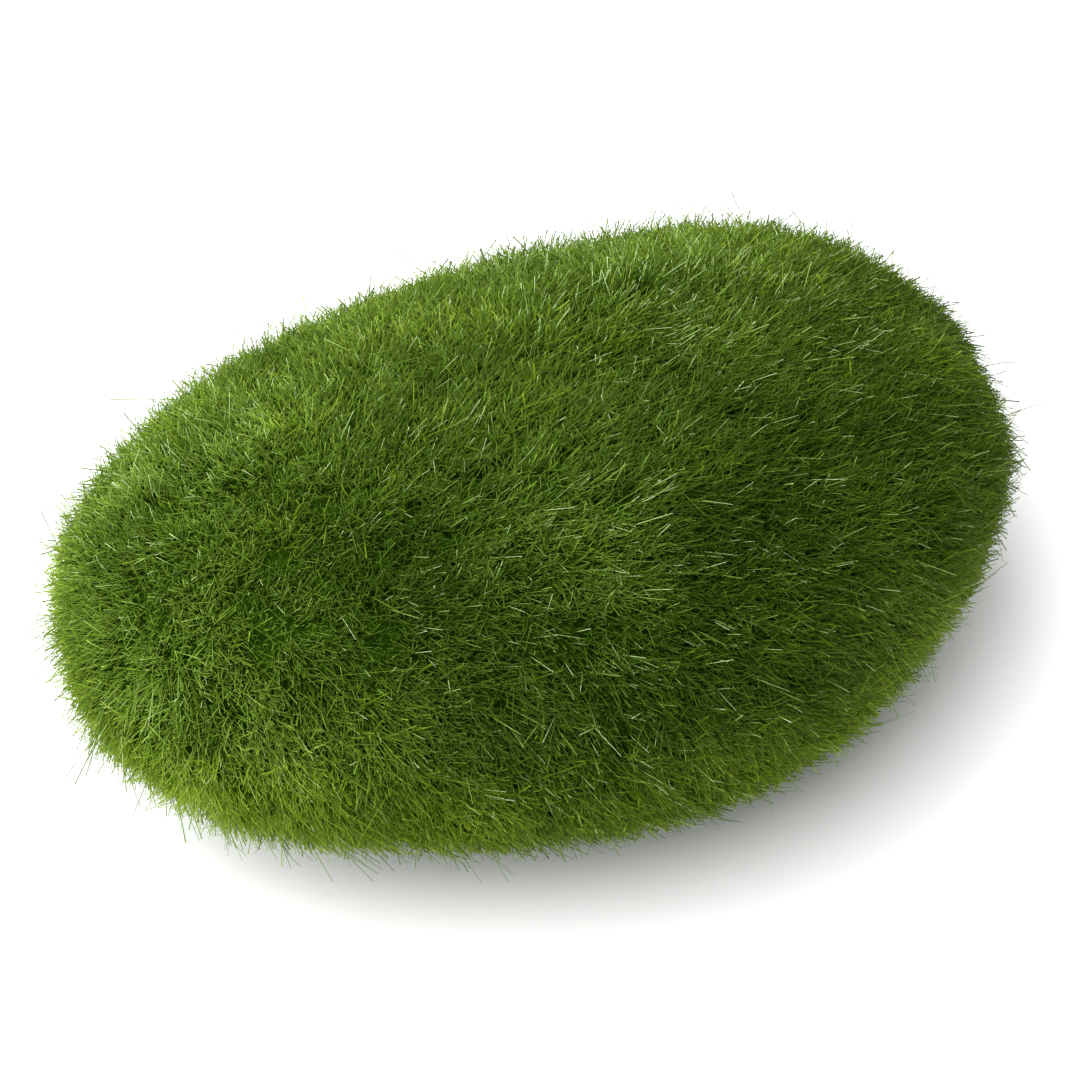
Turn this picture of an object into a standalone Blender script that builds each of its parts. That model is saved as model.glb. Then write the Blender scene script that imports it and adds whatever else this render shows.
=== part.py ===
"""An oblong moss ball: one dense cushion of moss, flattened like a river pebble.

It lies on a small flat spot. Metres, +Z up, +X along its length towards the broader end.
The solid reaches the tips of the moss.
"""

import math

import bmesh
import bpy
from mathutils import Vector, noise

# Overall size, to the tips of the moss
LENGTH = 0.092
WIDTH = 0.0625
HEIGHT = 0.039

# How much of the full egg's height is pressed flat where the ball rests
FLAT_SPOT_DEPTH = 0.025

# The form: 2 is an ellipsoid, and higher numbers fill out its shoulders
FULLNESS = 2.1
SIDEWAYS_BOW = 0.087
HIGHER_END = 0.03

# Gentle swells and dips of the outline seen from above: azimuth in degrees and share of the radius
SWELL_BREADTH = 28.0
SWELLS = (
    (42.0, 0.087),
    (-56.0, -0.078),
    (-115.0, -0.115),
)

# Low relief of the moss, where it grows in soft tufts
TUFT_WIDTH = 0.008
TUFT_RELIEF = 0.0009
TUFT_SEED = Vector((3.7, 1.9, 8.3))

SPHERE_SUBDIVISIONS = 5

MOSS_GREEN = (0.085, 0.200, 0.018, 1.0)
MOSS_ROUGHNESS = 0.85


def clear_scene():
    for obj in list(bpy.data.objects):
        bpy.data.objects.remove(obj, do_unlink=True)


def part_collection(name):
    collection = bpy.data.collections.new(name)
    bpy.context.scene.collection.children.link(collection)
    return collection


def moss_material():
    material = bpy.data.materials.new("moss")
    material.use_nodes = True
    shader = material.node_tree.nodes["Principled BSDF"]
    shader.inputs["Base Color"].default_value = MOSS_GREEN
    shader.inputs["Roughness"].default_value = MOSS_ROUGHNESS
    shader.inputs["Metallic"].default_value = 0.0
    return material


def swell_at(azimuth):
    """How much the swells and dips change the outline's radius at this azimuth."""
    change = 1.0
    for centre, share in SWELLS:
        away = (azimuth - centre + 180.0) % 360.0 - 180.0
        change += share * math.exp(-((away / SWELL_BREADTH) ** 2))
    return change


def pebble_point(direction):
    """The point of the unit pebble that lies in this direction."""
    fullness = sum(abs(part) ** FULLNESS for part in direction) ** (-1.0 / FULLNESS)
    swell = swell_at(math.degrees(math.atan2(direction.y, direction.x)))
    x = direction.x * fullness * swell
    y = direction.y * fullness * swell
    z = direction.z * fullness
    return Vector((x, y + SIDEWAYS_BOW * x * x, z * (1.0 + HIGHER_END * x)))


def extents(bm):
    low = Vector(min(vert.co[axis] for vert in bm.verts) for axis in range(3))
    high = Vector(max(vert.co[axis] for vert in bm.verts) for axis in range(3))
    return low, high


def shape_pebble(bm):
    for vert in bm.verts:
        vert.co = pebble_point(vert.co.normalized())


def press_flat_spot(bm):
    """Presses the lowest part flat, as a soft ball settles where it lies."""
    low, high = extents(bm)
    rest_height = low.z + FLAT_SPOT_DEPTH * (high.z - low.z)
    for vert in bm.verts:
        vert.co.z = max(vert.co.z, rest_height)


def fit_to_size(bm):
    """Scales the pebble to its driving size, centred over the origin, with its flat spot at z 0."""
    low, high = extents(bm)
    sides = high - low
    for vert in bm.verts:
        vert.co = Vector(
            (
                ((vert.co.x - low.x) / sides.x - 0.5) * LENGTH,
                ((vert.co.y - low.y) / sides.y - 0.5) * WIDTH,
                (vert.co.z - low.z) / sides.z * HEIGHT,
            )
        )


def raise_tufts(bm):
    """Lifts the surface in low tufts that fade out towards the flat spot."""
    bm.normal_update()
    lifts = []
    for vert in bm.verts:
        height = noise.noise(vert.co / TUFT_WIDTH + TUFT_SEED)
        clear_of_floor = min(1.0, vert.co.z / TUFT_WIDTH)
        lifts.append(TUFT_RELIEF * height * clear_of_floor)
    for vert, lift in zip(bm.verts, lifts, strict=True):
        vert.co += vert.normal * lift


def make_moss_ball(collection):
    bm = bmesh.new()
    bmesh.ops.create_icosphere(bm, subdivisions=SPHERE_SUBDIVISIONS, radius=1.0)
    shape_pebble(bm)
    press_flat_spot(bm)
    fit_to_size(bm)
    raise_tufts(bm)
    fit_to_size(bm)
    mesh = bpy.data.meshes.new("moss_ball")
    bm.to_mesh(mesh)
    bm.free()
    mesh.materials.append(moss_material())
    mesh.shade_smooth()
    ball = bpy.data.objects.new("moss_ball", mesh)
    collection.objects.link(ball)
    return ball


def main():
    clear_scene()
    make_moss_ball(part_collection("oblong_moss_ball"))


main()
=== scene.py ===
"""The moss ball's looks: a dark felted mat under a dense, combed pile of fine moss fibres.

Metres, in the part's own frame: +Z up, +X along the ball towards its broader end.
"""

import math
from typing import NamedTuple

import bpy
import numpy as np
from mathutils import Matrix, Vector
from mathutils.kdtree import KDTree


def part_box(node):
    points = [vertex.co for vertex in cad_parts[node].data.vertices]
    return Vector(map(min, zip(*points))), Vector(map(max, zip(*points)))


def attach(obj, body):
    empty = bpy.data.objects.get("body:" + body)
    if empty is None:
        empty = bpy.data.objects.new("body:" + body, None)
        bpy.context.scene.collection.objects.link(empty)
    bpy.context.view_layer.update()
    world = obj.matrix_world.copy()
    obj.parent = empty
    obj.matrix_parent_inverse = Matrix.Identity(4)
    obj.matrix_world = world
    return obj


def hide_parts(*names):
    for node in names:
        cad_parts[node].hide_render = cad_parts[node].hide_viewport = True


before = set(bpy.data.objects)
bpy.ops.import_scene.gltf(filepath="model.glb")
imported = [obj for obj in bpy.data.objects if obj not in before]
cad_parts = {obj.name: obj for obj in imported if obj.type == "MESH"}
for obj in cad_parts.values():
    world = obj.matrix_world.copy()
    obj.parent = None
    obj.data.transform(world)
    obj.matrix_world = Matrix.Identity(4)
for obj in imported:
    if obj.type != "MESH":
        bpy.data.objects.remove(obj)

MM = 0.001
BODY = "root"
NODE = "moss_ball"

# What all layers share is drawn from SEED, and each layer's own fibres from LAYER_SEED on
SEED = 4711
LAYER_SEED = SEED + 1
TUFT_SEED = SEED + 50
HAIR_SEED = SEED + 90

# The camera: where it stands, seen from the ball's middle, and where the middle falls in the picture
CAMERA_YAW = math.radians(22.0)
CAMERA_ELEVATION = math.radians(48.0)
CAMERA_DISTANCE = 0.260
CAMERA_LENS_MM = 96.7
SENSOR_MM = 36.0
NEAREST_SEEN = 0.01
BALL_MIDDLE_RIGHT = 1.05 * MM
BALL_MIDDLE_UP = 0.53 * MM

# Soft studio light on a pale floor
SURROUND = 0.46
WHITE = (1.0, 1.0, 1.0, 1.0)
WINDOW_AIM = (0.0, 0.0, 0.02)
WINDOW_AT = (-0.44, 0.00, 0.80)
WINDOW_SIZE = 1.2
WINDOW_WATTS = 21.0
BACK_WINDOW_AT = (-0.10, 0.60, 0.38)
BACK_WINDOW_WATTS = 2.5
FLOOR_SIZE = 4.0
FLOOR_COLOUR = (0.92, 0.92, 0.92, 1.0)
FLOOR_ROUGHNESS = 0.9

# The mat that the fibres grow from lies this far inside the ball's surface, which the longer tips reach
MAT_DEPTH = 2.95 * MM
MAT_SUBDIVISIONS = 4
MAT_SMOOTHING = 1

# Towards the underside, between these pairs of upward shares of the normal, the pile grows thinner and is a
# little crushed
THINNED_SIDE = (-0.75, -0.25)
THINNED_SHARE = 0.45
CRUSHED_SIDE = (-0.80, -0.35)
CRUSH = 0.1

# The pile parts along this short line. Its fibres lean away from it and a little towards the broader end, by
# these shares of their height close to the line and far from it.
PARTING_START = np.array([-34.4, 4.7, 33.0]) * MM
PARTING_END = np.array([-24.9, 4.0, 34.5]) * MM
COMBED_TOWARDS = np.array([0.47, 0.0, 0.0])
LEAN_NEAR = 0.24
LEAN_FAR = 0.67
LEAN_REACH = 11.8 * MM
SWIRL = 0.30
SWIRL_WAVELENGTH = 22.0 * MM

# Towards the far side, between these two shares of the normal's +Y, and towards the narrow end, between these
# two shares of its -X, the pile stands more upright and some of it grows longer, and its tone rises there as
# painted rim light. The end counts for less than the side, by a share of its own each time.
UPRIGHT_SIDE = (-0.06, 0.46)
UPRIGHT_END = (0.35, 0.85)
END_SHARE_OF_LEAN = 0.4
END_SHARE_OF_HEIGHT = 0.8
END_SHARE_OF_TONE = 0.6
LEAN_LOST_UPRIGHT = 0.7

# The fibres' tips draw together in soft tufts. Each tuft has a pull of its own, and neighbours lean alike.
TUFTS = 2200
TUFT_PULL = 0.45
TUFT_PULL_RANGE = (0.2, 1.8)
TUFT_LEAN = 0.15
TUFT_LEAN_WAVELENGTH = 5.2 * MM

# How high the fibres stand above the mat, in shares of PILE_HEIGHT. Each lies in the range, and then grows
# taller by up to TALLER and TALLEST. The higher a rarity, the fewer fibres grow much by it.
PILE_HEIGHT = 2.45 * MM
HEIGHT_RANGE = (0.60, 0.95)
TALLER = 0.45
TALLER_RARITY = 4
TALLEST = 0.25
TALLEST_UPRIGHT = 0.45
TALLEST_RARITY = 8
HEIGHT_WAVE = 0.05
HEIGHT_WAVELENGTHS = (6.0 * MM, 3.0 * MM)

# A fibre starts a little inside the mat, bends above the middle of its height and ends clear of the floor.
# The tapers are shares of its width, from root to tip.
ROOT_DEPTH = 0.15 * MM
BEND_HEIGHT = 0.58
BEND_RANGE = (0.22, 0.48)
FLOOR_GAP_MM = (0.05, 0.5)
WIDTH_RANGE = (0.75, 1.3)
STRAIGHT_TAPER = (0.0, 1.0)
BENT_TAPER = (0.0, 1.0, 0.7)

# Some fibres stray further from the comb than the others do. The shining ones, pale fibres painted as
# highlights, stray less and are thinner.
STRAY_SHARE = 0.15
STRAY_WILDNESS = 1.6
GLINT_WILDNESS = 0.6
GLINT_WIDTH = 0.85

# Longer hairs stand clear of the pile. The first of their widths is at the root and the last at the tip.
LONG_HAIRS = 180
HAIR_LENGTH_MM = (3.0, 4.4)
HAIR_COMBED = 0.7
HAIR_WILDNESS = 0.45
HAIR_BOW = 0.08
HAIR_PLACES = (0.0, 0.3, 0.6, 0.85, 1.0)
HAIR_WIDTHS_MM = (0.0, 0.08, 0.075, 0.06, 0.0)
HAIR_WIDTH_RANGE = (0.8, 1.1)
HAIR_TONES = (0.30, 0.80)
HAIR_FLOOR_GAP = 0.2 * MM

# Stray hairs that stand out past the outline, each from its root to its tip, in millimetres
STRAY_HAIRS = (
    ((40.7, -6.4, 24.5), (45.9, -7.2, 25.7)),
    ((39.3, -3.1, 28.2), (44.0, -4.4, 28.8)),
    ((40.6, 7.0, 27.0), (44.3, 7.3, 28.5)),
    ((23.7, 16.7, 32.9), (24.3, 19.1, 35.0)),
    ((-44.0, -1.5, 22.1), (-48.0, -3.3, 19.3)),
    ((-43.0, -7.1, 21.1), (-46.5, -9.1, 18.2)),
    ((-40.9, -11.7, 19.3), (-43.8, -14.1, 16.3)),
    ((-35.8, -17.1, 17.6), (-37.2, -19.4, 15.2)),
    ((-33.9, -18.4, 15.8), (-33.2, -21.0, 13.9)),
    ((-32.1, -19.3, 14.6), (-31.3, -21.7, 12.9)),
    ((-11.6, -27.3, 14.2), (-13.2, -28.4, 12.8)),
    ((-44.0, 3.7, 20.3), (-46.5, 3.0, 18.9)),
)

# A fibre's tone runs from 0, deep green, to 1, pale straw, and its palest tones are painted highlights. It
# varies from fibre to fibre and drifts in waves, each with a wavelength and a height. It rises along
# PAINTED_LIGHT_SLOPE, in shares a metre, as painted light that is lighter towards the narrow end and the far
# side, and rises again towards the narrow end, between these two places along X, as more painted light on
# that side. Only the shining fibres, painted highlights, are paler than HIGHEST_TONE.
TONE_SPREAD = 0.12
TONE_WAVES = ((10.0 * MM, 0.06), (4.5 * MM, 0.05))
PAINTED_LIGHT_SLOPE = np.array([-1.1, 1.5, 0.0])
# Where the pile stands upright, the tone rises by this much: painted rim light
UPRIGHT_PAINTED_RIM_LIGHT = 0.07
NARROW_END = (-45.0 * MM, 30.0 * MM)
NARROW_END_PAINTED_LIGHT = 0.10
HIGHEST_TONE = 0.76
GLINT_TONE = 0.66
GLINT_TONE_RARITY = 1.1

# Darker and lighter patches, partly the moss's own and partly painted light and shade: the middle and the
# reach in millimetres, and the change of tone
PATCHES = (
    ((-20.5, -6.5, 36.0), 8.0, -0.42),
    ((-27.0, -5.0, 34.5), 5.0, -0.12),
    ((-22.0, 2.5, 36.0), 5.5, 0.30),
    ((-39.0, -9.5, 27.5), 5.0, -0.10),
    ((-37.0, -13.0, 22.5), 9.0, 0.22),
    ((-30.0, -14.5, 31.0), 5.0, 0.10),
    ((-30.0, 13.0, 30.0), 7.0, -0.05),
    ((-4.0, 6.0, 36.0), 5.0, -0.10),
    ((10.0, 4.0, 36.0), 6.0, -0.22),
    ((9.5, -7.0, 37.5), 5.0, -0.10),
    ((17.0, 1.0, 36.5), 7.0, 0.08),
    ((20.0, 19.0, 31.0), 10.0, 0.10),
    ((20.0, -14.0, 32.5), 12.0, -0.22),
    ((27.5, -13.5, 32.0), 6.0, -0.10),
    ((44.0, -4.0, 18.0), 9.0, 0.22),
    ((24.0, -24.5, 21.5), 8.0, 0.27),
    ((9.5, -21.5, 33.0), 6.0, -0.45),
    ((-5.5, -14.5, 36.5), 5.5, 0.31),
    ((-3.0, -19.5, 33.5), 4.0, 0.14),
    ((-3.5, -24.0, 31.5), 6.0, -0.20),
    ((-8.0, -24.0, 27.0), 11.0, -0.25),
    ((-10.0, -28.5, 20.0), 9.0, -0.08),
    ((1.0, -28.5, 26.5), 8.5, 0.11),
)

# Where more of the fibres shine, as pale fibres painted as highlights: the middle and the reach in
# millimetres, and the added share
PAINTED_GLINT_PLACES = (
    ((-5.5, -15.0, 36.0), 9.0, 0.8),
    ((16.0, 16.0, 32.5), 16.0, 1.5),
    ((-30.0, 14.0, 29.0), 12.0, 0.9),
    ((-8.0, -26.0, 22.0), 7.0, 0.6),
)
PAINTED_GLINTS_ELSEWHERE = 0.30

# Yellower, brighter fibres. Where the surface stops facing up, between these two upward shares of its normal,
# which are higher at the narrow end, they are a painted glow of light through the pile round the waist, with
# more of it at the narrow end. Elsewhere they are the moss's own yellower fibres, in patches and more on the
# broader half.
PAINTED_GLOW_BELT = (-0.10, 0.45)
PAINTED_GLOW_BELT_RISE = 0.15
PAINTED_GLOW_SHARE = 0.8
PAINTED_GLOW_AT_NARROW_END = 0.1
YELLOWER_IN_PATCHES = 0.30
YELLOWER_PATCH_WAVELENGTH = 12.0 * MM
YELLOWER_PATCH_EDGE = (0.2, 1.4)
YELLOWER_AT_BROAD_HALF = 0.10
BROAD_HALF = (0.0, 30.0 * MM)

# What each tone multiplies a fibre's green by: the tone, then its plain and its yellower, brighter colour,
# which is the moss's own in patches and painted glow round the waist. The top stops are painted highlights.
TONES = (
    (0.00, (0.096, 0.12, 0.02), (0.20, 0.22, 0.03)),
    (0.35, (0.243, 0.25, 0.155), (0.455, 0.41, 0.155)),
    (0.58, (0.40, 0.37, 0.22), (0.71, 0.61, 0.26)),
    (0.80, (0.92, 0.82, 1.10), (1.10, 0.90, 1.10)),
    (1.00, (1.90, 1.45, 4.8), (1.90, 1.45, 4.8)),
)

# A fibre's green from its root, at 0, to its tip, at 1. Its darkening towards the root is partly painted
# shade deep in the pile, and SHADED_DEEP_GREEN, a darker copy for the lowest layer, is painted shade low in
# the pile.
SHADED_DEEP_GREEN = ((0.0, (0.06, 0.18, 0.001)), (0.5, (0.14, 0.32, 0.009)), (1.0, (0.22, 0.44, 0.035)))
DEEP_ROUGHNESS = 0.65
BRIGHT_GREEN = ((0.0, (0.07, 0.20, 0.001)), (0.5, (0.25, 0.48, 0.042)), (1.0, (0.39, 0.64, 0.115)))
BRIGHT_ROUGHNESS = 0.55
FIBRE_GLOSS = 0.08

# The mat's felt, between these two dark greens, whose darkness is partly painted shade in the gaps between
# the fibres
FELT_GREENS = ((0.30, (0.012, 0.036, 0.001)), (0.70, (0.036, 0.095, 0.002)))
FELT_GRAIN = 900.0
FELT_ROUGHNESS = 0.9
FELT_GLOSS = 0.05

# The fibres' map. Its first axis is tone, plain in its first half and yellower and brighter in its second,
# for the moss's own yellower fibres and painted glow, and its second runs from root to tip. A ring's corners
# lie a step apart on the first, and its middle one a rise further on.
TONE_MAP = "OFBake"
TONE_START = 0.02
TONE_REACH = 0.46
YELLOW_AND_GLOW_HALF = 0.5
ROOT_PLACE = 0.02
FIBRE_REACH = 0.93
MAP_STEP = 0.006
MAP_RISE = 0.030
CORNERS = 3

# A noise field is this many waves, whose lengths vary by this much
WAVES_IN_A_FIELD = 14
WAVELENGTH_RANGE = (0.7, 1.5)

# Fibres in a piece, which keeps each piece under 200,000 triangles
STRAIGHT_IN_A_PIECE = 49500
BENT_IN_A_PIECE = 19500


class Layer(NamedTuple):
    """One layer of the pile.

    length is a share of the pile's heights, and painted_glints is the share of fibres that shine, pale fibres
    painted as highlights, where PAINTED_GLINT_PLACES and PAINTED_GLINTS_ELSEWHERE add up to 1.
    """

    name: str
    finish: str
    count: int
    bent: bool
    length: float
    width: float
    wildness: float
    tone: float
    painted_glints: float


LAYERS = (
    Layer("moss_undergrowth_1", "deep", STRAIGHT_IN_A_PIECE, False, 0.82, 0.120 * MM, 0.55, 0.348, 0.0),
    Layer("moss_undergrowth_2", "bright", STRAIGHT_IN_A_PIECE, False, 0.95, 0.085 * MM, 0.54, 0.278, 0.02),
    Layer("moss_pile_1", "bright", BENT_IN_A_PIECE, True, 0.97, 0.070 * MM, 0.54, 0.258, 0.04),
    Layer("moss_pile_2", "bright", BENT_IN_A_PIECE, True, 1.02, 0.065 * MM, 0.54, 0.268, 0.14),
    Layer("moss_pile_3", "bright", BENT_IN_A_PIECE, True, 1.08, 0.060 * MM, 0.56, 0.288, 0.34),
)


def unit(vectors):
    """The same vectors at length one."""
    return vectors / np.maximum(np.linalg.norm(vectors, axis=-1, keepdims=True), 1e-12)


def ease(values, start, end):
    """A soft step from 0 at start to 1 at end."""
    share = np.clip((values - start) / (end - start), 0.0, 1.0)
    return share * share * (3.0 - 2.0 * share)


def bumps(points, places):
    """The sum of soft round bumps: the middle and the reach of each in millimetres, and its height."""
    total = np.zeros(len(points))
    for middle_mm, reach_mm, height in places:
        away = np.linalg.norm(points - np.array(middle_mm) * MM, axis=1)
        total += height * np.exp(-((away / (reach_mm * MM)) ** 2))
    return total


class Waves:
    """A smooth, repeatable noise field: a few sine waves that cross in all directions."""

    def __init__(self, rng, wavelength):
        heading = unit(rng.normal(size=(WAVES_IN_A_FIELD, 3)))
        lengths = wavelength * rng.uniform(*WAVELENGTH_RANGE, (WAVES_IN_A_FIELD, 1))
        self.turns = heading * (2.0 * math.pi / lengths)
        self.phases = rng.uniform(0.0, 2.0 * math.pi, WAVES_IN_A_FIELD)
        self.scale = math.sqrt(2.0 / WAVES_IN_A_FIELD)

    def __call__(self, points):
        return np.sin(points @ self.turns.T + self.phases).sum(axis=1) * self.scale


def deselect_all():
    bpy.ops.object.select_all(action="DESELECT")


def apply_modifiers(obj):
    deselect_all()
    obj.select_set(True)
    bpy.context.view_layer.objects.active = obj
    for modifier in list(obj.modifiers):
        bpy.ops.object.modifier_apply(modifier=modifier.name)


def make_mat(ball):
    """The felted surface under the pile: a sphere wrapped on the ball, then drawn in by MAT_DEPTH."""
    low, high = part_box(NODE)
    deselect_all()
    bpy.ops.mesh.primitive_ico_sphere_add(
        subdivisions=MAT_SUBDIVISIONS, radius=1.0, location=(low + high) / 2
    )
    mat = bpy.context.object
    mat.name = "moss_mat"
    mat.data.name = "moss_mat"
    mat.scale = (high - low) / 2
    bpy.ops.object.transform_apply(location=True, rotation=True, scale=True)
    wrap = mat.modifiers.new("wrap on the ball", "SHRINKWRAP")
    wrap.target = ball
    wrap.wrap_method = "NEAREST_SURFACEPOINT"
    soften = mat.modifiers.new("soften", "SMOOTH")
    soften.iterations = MAT_SMOOTHING
    draw_in = mat.modifiers.new("draw in", "DISPLACE")
    draw_in.direction = "NORMAL"
    draw_in.mid_level = 0.0
    draw_in.strength = -MAT_DEPTH
    apply_modifiers(mat)
    mat.data.shade_smooth()
    return mat


def mesh_arrays(mesh):
    """A mesh's points, point normals and triangles as arrays."""
    count = len(mesh.vertices)
    points = np.empty(count * 3)
    mesh.vertices.foreach_get("co", points)
    normals = np.empty(count * 3)
    mesh.vertices.foreach_get("normal", normals)
    mesh.calc_loop_triangles()
    faces = np.empty(len(mesh.loop_triangles) * 3, np.int32)
    mesh.loop_triangles.foreach_get("vertices", faces)
    return points.reshape(-1, 3), normals.reshape(-1, 3), faces.reshape(-1, 3)


def scatter_on(mesh, count, rng):
    """Random places on a mesh, fewer towards its underside, with the outward direction at each."""
    points, normals, faces = mesh_arrays(mesh)
    a, b, c = (points[faces[:, corner]] for corner in range(3))
    cross = np.cross(b - a, c - a)
    area = np.linalg.norm(cross, axis=1)
    share = area * (THINNED_SHARE + (1.0 - THINNED_SHARE) * ease(cross[:, 2] / area, *THINNED_SIDE))
    picked = rng.choice(len(faces), count, p=share / share.sum())
    first, second = rng.uniform(size=(2, count))
    folded = first + second > 1.0
    first[folded], second[folded] = 1.0 - first[folded], 1.0 - second[folded]
    shares = np.stack([1.0 - first - second, first, second], axis=1)
    corners = faces[picked]
    places = (points[corners] * shares[:, :, None]).sum(axis=1)
    outward = unit((normals[corners] * shares[:, :, None]).sum(axis=1))
    return places, outward


def along_surface(vectors, outward):
    """The part of each vector that lies along the surface."""
    return vectors - outward * (vectors * outward).sum(axis=1, keepdims=True)


def uprightness(outward, end_share):
    """How far a place faces the far side, or the narrow end, which counts for end_share: from 0 to 1."""
    return np.maximum(ease(outward[:, 1], *UPRIGHT_SIDE), end_share * ease(-outward[:, 0], *UPRIGHT_END))


def combed_lean(places, outward, rng):
    """Which way the pile leans along the surface at each place, and how strongly."""
    line = PARTING_END - PARTING_START
    share = np.clip((places - PARTING_START) @ line / (line @ line), 0.0, 1.0)
    away = places - (PARTING_START + share[:, None] * line)
    distance = np.linalg.norm(away, axis=1, keepdims=True)
    away = unit(along_surface(away, outward))
    across = np.cross(outward, away)
    swirl = Waves(rng, SWIRL_WAVELENGTH)(places)[:, None] * SWIRL
    heading = unit(away + along_surface(COMBED_TOWARDS[None, :], outward) + across * swirl)
    strength = LEAN_NEAR + (LEAN_FAR - LEAN_NEAR) * (1.0 - np.exp(-((distance / LEAN_REACH) ** 2)))
    strength *= 1.0 - LEAN_LOST_UPRIGHT * uprightness(outward, END_SHARE_OF_LEAN)[:, None]
    return heading * strength


def tuft_lean(places, outward, rng):
    """A small lean that neighbouring fibres share."""
    jitter = np.stack([Waves(rng, TUFT_LEAN_WAVELENGTH)(places) for _ in range(3)], axis=1)
    return TUFT_LEAN * along_surface(jitter, outward)


class Tufts:
    """The places on the mat that the fibres' tips draw together over."""

    def __init__(self, mat):
        rng = np.random.default_rng(TUFT_SEED)
        self.middles, _ = scatter_on(mat.data, TUFTS, rng)
        self.pulls = TUFT_PULL * rng.uniform(*TUFT_PULL_RANGE, (TUFTS, 1))
        self.tree = KDTree(TUFTS)
        for index, middle in enumerate(self.middles):
            self.tree.insert(middle, index)
        self.tree.balance()

    def gather(self, tips, roots, outward):
        """The tips, each drawn a little towards the middle of its tuft."""
        nearest = np.array([self.tree.find(root)[1] for root in roots])
        return tips + along_surface(self.middles[nearest] - roots, outward) * self.pulls[nearest]


def map_tone(tone, yellow_and_glow=False):
    """Where a tone lies on the map's first axis."""
    return TONE_START + TONE_REACH * tone + YELLOW_AND_GLOW_HALF * yellow_and_glow


def rings_round(lines, widths, rng):
    """Each fibre's points: a ring of corners round each station, or one point where it has no width.

    lines holds each fibre's stations from root to tip. With the points come their places across and along the
    map, and where each station's points start.
    """
    count, stations = lines.shape[:2]
    shaft = unit(lines[:, -1] - lines[:, 0])
    side = unit(np.cross(shaft, rng.normal(size=(count, 3))))
    other = np.cross(shaft, side)
    points, across, along, starts = [], [], [], []
    for station in range(stations):
        starts.append(len(points))
        place = ROOT_PLACE + FIBRE_REACH * station / (stations - 1)
        if not widths[:, station].any():
            points.append(lines[:, station])
            across.append(0.0)
            along.append(place)
            continue
        for corner in range(CORNERS):
            turn = 2.0 * math.pi * corner / CORNERS
            spoke = side * math.cos(turn) + other * math.sin(turn)
            points.append(lines[:, station] + spoke * widths[:, station, None] / 2)
            across.append((corner - 1) * MAP_STEP)
            along.append(place + MAP_RISE * (corner == 1))
    starts.append(len(points))
    return np.stack(points, axis=1), np.array(across), np.array(along), starts


def fibre_faces(starts):
    """The triangles of one fibre, which starts in a point and ends in a point or in a capped ring."""
    faces = []
    for low, high, end in zip(starts, starts[1:], starts[2:]):
        for corner in range(CORNERS):
            following = (corner + 1) % CORNERS
            if high - low == 1:
                faces.append((low, high + following, high + corner))
            elif end - high == 1:
                faces.append((high, low + corner, low + following))
            else:
                faces.append((low + corner, low + following, high + following))
                faces.append((low + corner, high + following, high + corner))
    tip, end = starts[-2:]
    if end - tip == CORNERS:
        faces.append((tip, tip + 1, tip + 2))
    return np.array(faces)


def build_fibres(name, lines, widths, tones, rng):
    """One joined mesh of closed, three-sided fibres."""
    points, across, along, starts = rings_round(lines, widths, rng)
    count, points_each = points.shape[:2]
    firsts = np.arange(count)[:, None, None] * points_each
    faces = (firsts + fibre_faces(starts)).reshape(-1, 3)
    mesh = bpy.data.meshes.new(name)
    mesh.vertices.add(count * points_each)
    mesh.vertices.foreach_set("co", points.astype(np.float32).ravel())
    mesh.loops.add(faces.size)
    mesh.loops.foreach_set("vertex_index", faces.astype(np.int32).ravel())
    mesh.polygons.add(len(faces))
    mesh.polygons.foreach_set("loop_start", np.arange(len(faces), dtype=np.int32) * 3)
    tone_map = mesh.uv_layers.new(name=TONE_MAP)
    places = np.empty((count, points_each, 2))
    places[:, :, 0] = tones[:, None] + across
    places[:, :, 1] = along
    tone_map.uv.foreach_set("vector", places.reshape(-1, 2)[faces.ravel()].astype(np.float32).ravel())
    mesh.update(calc_edges=True)
    mesh.shade_smooth()
    obj = bpy.data.objects.new(name, mesh)
    bpy.context.scene.collection.objects.link(obj)
    return obj


def fibre_heights(roots, outward, rng, shared):
    """How high above the mat each fibre's tip stands."""
    count = len(roots)
    shares = rng.uniform(*HEIGHT_RANGE, count) + TALLER * rng.uniform(size=count) ** TALLER_RARITY
    tallest = TALLEST + TALLEST_UPRIGHT * uprightness(outward, END_SHARE_OF_HEIGHT)
    shares += tallest * rng.uniform(size=count) ** TALLEST_RARITY
    shares *= 1.0 + sum(HEIGHT_WAVE * Waves(shared, length)(roots) for length in HEIGHT_WAVELENGTHS)
    shares *= 1.0 - CRUSH * (1.0 - ease(outward[:, 2], *CRUSHED_SIDE))
    return PILE_HEIGHT * shares


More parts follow.
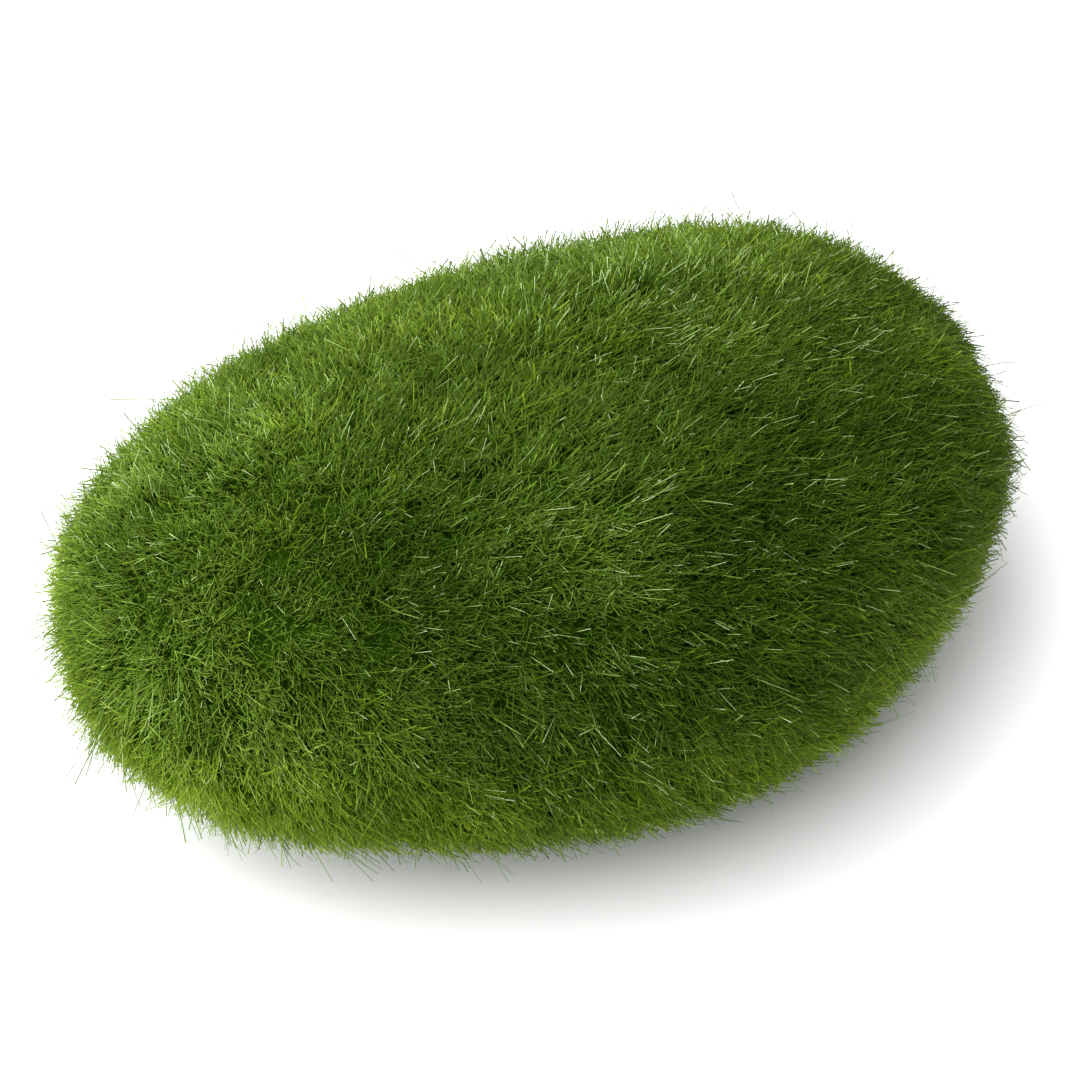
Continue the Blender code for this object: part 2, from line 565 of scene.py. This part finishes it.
def fibre_tones(roots, outward, middle, painted_glint, rng, shared):
    """Where each fibre's tone lies on the map, around a layer's middle tone."""
    count = len(roots)
    drift = sum(height * Waves(shared, length)(roots) for length, height in TONE_WAVES)
    # PATCHES are partly painted light and shade, and PAINTED_LIGHT_SLOPE adds painted light
    drift += bumps(roots, PATCHES) + roots @ PAINTED_LIGHT_SLOPE
    # Painted rim light where the pile stands upright
    drift += UPRIGHT_PAINTED_RIM_LIGHT * uprightness(outward, END_SHARE_OF_TONE)
    narrow_end = 1.0 - ease(roots[:, 0], *NARROW_END)
    # The rise at the narrow end is painted light on that side
    tones = middle + TONE_SPREAD * rng.normal(size=count) + drift + NARROW_END_PAINTED_LIGHT * narrow_end
    tones = np.clip(tones, 0.0, HIGHEST_TONE)
    # The shining fibres take the palest tones: painted highlights
    shining = rng.uniform(size=painted_glint.sum()) ** GLINT_TONE_RARITY
    tones[painted_glint] = GLINT_TONE + (1.0 - GLINT_TONE) * shining
    # A belt round the waist, higher at the narrow end, takes the yellower, brighter colour as painted glow,
    # and patches and the broader half take it as the moss's own yellower fibres
    above_belt = ease(outward[:, 2] - PAINTED_GLOW_BELT_RISE * narrow_end, *PAINTED_GLOW_BELT)
    share = (PAINTED_GLOW_SHARE + PAINTED_GLOW_AT_NARROW_END * narrow_end) * (1.0 - above_belt)
    share += YELLOWER_IN_PATCHES * ease(Waves(shared, YELLOWER_PATCH_WAVELENGTH)(roots), *YELLOWER_PATCH_EDGE)
    share += YELLOWER_AT_BROAD_HALF * ease(roots[:, 0], *BROAD_HALF)
    return map_tone(tones, rng.uniform(size=count) < share)


def grow_pile(layer, mat, tufts, seed):
    """One layer of the pile."""
    rng = np.random.default_rng(seed)
    shared = np.random.default_rng(SEED)
    count = layer.count
    roots, outward = scatter_on(mat.data, count, rng)
    lean = combed_lean(roots, outward, shared) + tuft_lean(roots, outward, shared)
    own_lean = along_surface(rng.normal(size=(count, 3)), outward)
    # Shining fibres are pale fibres painted as highlights, more of them at PAINTED_GLINT_PLACES
    painted_glint = rng.uniform(size=count) < layer.painted_glints * (PAINTED_GLINTS_ELSEWHERE + bumps(roots, PAINTED_GLINT_PLACES))
    stray = rng.uniform(size=count) < STRAY_SHARE
    wild = np.where(painted_glint, GLINT_WILDNESS, np.where(stray, STRAY_WILDNESS, 1.0))
    lean += own_lean * layer.wildness * wild[:, None]
    heights = layer.length * fibre_heights(roots, outward, rng, shared)[:, None]
    upright_tips = roots + outward * heights
    tips = tufts.gather(upright_tips + lean * heights, roots, outward)
    stations = [roots - outward * ROOT_DEPTH]
    if layer.bent:
        bend = rng.uniform(*BEND_RANGE, (count, 1))
        stations.append(roots + outward * heights * BEND_HEIGHT + (tips - upright_tips) * bend)
    stations.append(tips)
    for points in stations[1:]:
        points[:, 2] = np.maximum(points[:, 2], rng.uniform(*FLOOR_GAP_MM, count) * MM)
    thickness = layer.width * rng.uniform(*WIDTH_RANGE, count) * np.where(painted_glint, GLINT_WIDTH, 1.0)
    widths = np.outer(thickness, BENT_TAPER if layer.bent else STRAIGHT_TAPER)
    tones = fibre_tones(roots, outward, layer.tone, painted_glint, rng, shared)
    return build_fibres(layer.name, np.stack(stations, axis=1), widths, tones, rng)


def grow_long_hairs(name, mat):
    """Longer, bowed hairs: most of them anywhere on the ball, and the stray ones at their own places."""
    rng = np.random.default_rng(HAIR_SEED)
    roots, outward = scatter_on(mat.data, LONG_HAIRS, rng)
    lean = HAIR_COMBED * combed_lean(roots, outward, np.random.default_rng(SEED))
    lean += HAIR_WILDNESS * along_surface(rng.normal(size=(LONG_HAIRS, 3)), outward)
    tips = roots + unit(outward + lean) * rng.uniform(*HAIR_LENGTH_MM, (LONG_HAIRS, 1)) * MM
    stray = np.array(STRAY_HAIRS) * MM
    starts = np.concatenate([roots, stray[:, 0]])
    ends = np.concatenate([tips, stray[:, 1]])
    count = len(starts)
    reach = ends - starts
    bow = np.cross(reach, rng.normal(size=(count, 3))) * HAIR_BOW
    stations = [starts + reach * share + bow * (4.0 * share * (1.0 - share)) for share in HAIR_PLACES]
    lines = np.stack(stations, axis=1)
    lines[:, :, 2] = np.maximum(lines[:, :, 2], HAIR_FLOOR_GAP)
    widths = np.outer(rng.uniform(*HAIR_WIDTH_RANGE, count), HAIR_WIDTHS_MM) * MM
    tones = map_tone(rng.uniform(*HAIR_TONES, count))
    return build_fibres(name, lines, widths, tones, rng)


def clear_material(name):
    """A new material with its nodes and its shader."""
    material = bpy.data.materials.new(name)
    material.use_nodes = True
    return material, material.node_tree, material.node_tree.nodes["Principled BSDF"]


def colour_ramp(tree, value, stops):
    """A ramp node fed by value; stops are (place, linear colour). All places are set before any colour."""
    node = tree.nodes.new("ShaderNodeValToRGB")
    ramp = node.color_ramp
    for place, _ in stops[2:]:
        ramp.elements.new(place)
    for element, (place, _) in zip(ramp.elements, stops, strict=True):
        element.position = place
    for element, (_, colour) in zip(ramp.elements, stops, strict=True):
        element.color = (*colour, 1.0)
    tree.links.new(value, node.inputs[0])
    return node.outputs["Color"]


def fibre_material(name, greens, roughness):
    """Moss fibre: its green, from root to tip on the map's second axis, darker towards the root as partly
    painted shade, times its tone on the first, which carries painted highlights, painted glow and painted
    light besides the moss's own tones.
    """
    material, tree, shader = clear_material(name)
    tones = [(map_tone(tone), plain) for tone, plain, _ in TONES]
    tones += [(map_tone(tone, yellow_and_glow=True), yellow_and_glow) for tone, _, yellow_and_glow in TONES]
    uv = tree.nodes.new("ShaderNodeUVMap")
    uv.uv_map = TONE_MAP
    split = tree.nodes.new("ShaderNodeSeparateXYZ")
    tree.links.new(uv.outputs["UV"], split.inputs[0])
    mix = tree.nodes.new("ShaderNodeMix")
    mix.data_type = "RGBA"
    mix.blend_type = "MULTIPLY"
    mix.inputs["Factor"].default_value = 1.0
    tree.links.new(colour_ramp(tree, split.outputs["Y"], greens), mix.inputs["A"])
    tree.links.new(colour_ramp(tree, split.outputs["X"], tones), mix.inputs["B"])
    tree.links.new(mix.outputs["Result"], shader.inputs["Base Color"])
    shader.inputs["Roughness"].default_value = roughness
    shader.inputs["Specular IOR Level"].default_value = FIBRE_GLOSS
    return material


def felt_material():
    """Dark felt in the gaps between the fibres, its darkness partly painted shade deep in the pile."""
    material, tree, shader = clear_material("moss felt")
    place = tree.nodes.new("ShaderNodeTexCoord")
    noise = tree.nodes.new("ShaderNodeTexNoise")
    noise.inputs["Scale"].default_value = FELT_GRAIN
    tree.links.new(place.outputs["Object"], noise.inputs["Vector"])
    tree.links.new(colour_ramp(tree, noise.outputs["Fac"], FELT_GREENS), shader.inputs["Base Color"])
    shader.inputs["Roughness"].default_value = FELT_ROUGHNESS
    shader.inputs["Specular IOR Level"].default_value = FELT_GLOSS
    return material


def dress(piece, material):
    """Gives a piece its material and sets it on the ball, in the solid's place."""
    piece.data.materials.append(material)
    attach(piece, BODY)
    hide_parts(NODE)


def make_camera():
    forward = Vector(
        (
            math.sin(CAMERA_YAW) * math.cos(CAMERA_ELEVATION),
            math.cos(CAMERA_YAW) * math.cos(CAMERA_ELEVATION),
            -math.sin(CAMERA_ELEVATION),
        )
    )
    right = Vector((math.cos(CAMERA_YAW), -math.sin(CAMERA_YAW), 0.0))
    up = right.cross(forward)
    low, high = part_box(NODE)
    aim = (low + high) / 2 - right * BALL_MIDDLE_RIGHT - up * BALL_MIDDLE_UP
    data = bpy.data.cameras.new("camera")
    data.lens = CAMERA_LENS_MM
    data.sensor_width = SENSOR_MM
    data.clip_start = NEAREST_SEEN
    camera = bpy.data.objects.new("camera", data)
    camera.location = aim - forward * CAMERA_DISTANCE
    camera.rotation_euler = forward.to_track_quat("-Z", "Y").to_euler()
    bpy.context.scene.collection.objects.link(camera)
    bpy.context.scene.camera = camera


def make_floor():
    deselect_all()
    bpy.ops.mesh.primitive_plane_add(size=FLOOR_SIZE)
    floor = bpy.context.object
    floor.name = "floor"
    material, _, shader = clear_material("pale floor")
    shader.inputs["Base Color"].default_value = FLOOR_COLOUR
    shader.inputs["Roughness"].default_value = FLOOR_ROUGHNESS
    floor.data.materials.append(material)


def window_light(name, location, power):
    """A square area light that faces the ball."""
    data = bpy.data.lights.new(name, "AREA")
    data.size = WINDOW_SIZE
    data.energy = power
    light = bpy.data.objects.new(name, data)
    light.location = location
    light.rotation_euler = (Vector(WINDOW_AIM) - Vector(location)).to_track_quat("-Z", "Y").to_euler()
    bpy.context.scene.collection.objects.link(light)


def make_lights():
    world = bpy.data.worlds.new("studio")
    bpy.context.scene.world = world
    world.use_nodes = True
    background = world.node_tree.nodes["Background"]
    background.inputs["Color"].default_value = WHITE
    background.inputs["Strength"].default_value = SURROUND
    window_light("soft window", WINDOW_AT, WINDOW_WATTS)
    window_light("back window", BACK_WINDOW_AT, BACK_WINDOW_WATTS)
    bpy.context.scene.view_settings.view_transform = "Standard"


def main():
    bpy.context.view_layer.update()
    mat = make_mat(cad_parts[NODE])
    dress(mat, felt_material())
    # The deep green finish is a darker copy of the fibre green, painted shade low in the pile
    finishes = {
        "deep": fibre_material("deep green moss", SHADED_DEEP_GREEN, DEEP_ROUGHNESS),
        "bright": fibre_material("bright green moss", BRIGHT_GREEN, BRIGHT_ROUGHNESS),
    }
    dress(grow_long_hairs("moss_long_hairs", mat), finishes["bright"])
    tufts = Tufts(mat)
    for number, layer in enumerate(LAYERS):
        dress(grow_pile(layer, mat, tufts, LAYER_SEED + number), finishes[layer.finish])
    make_floor()
    make_lights()
    make_camera()


main()
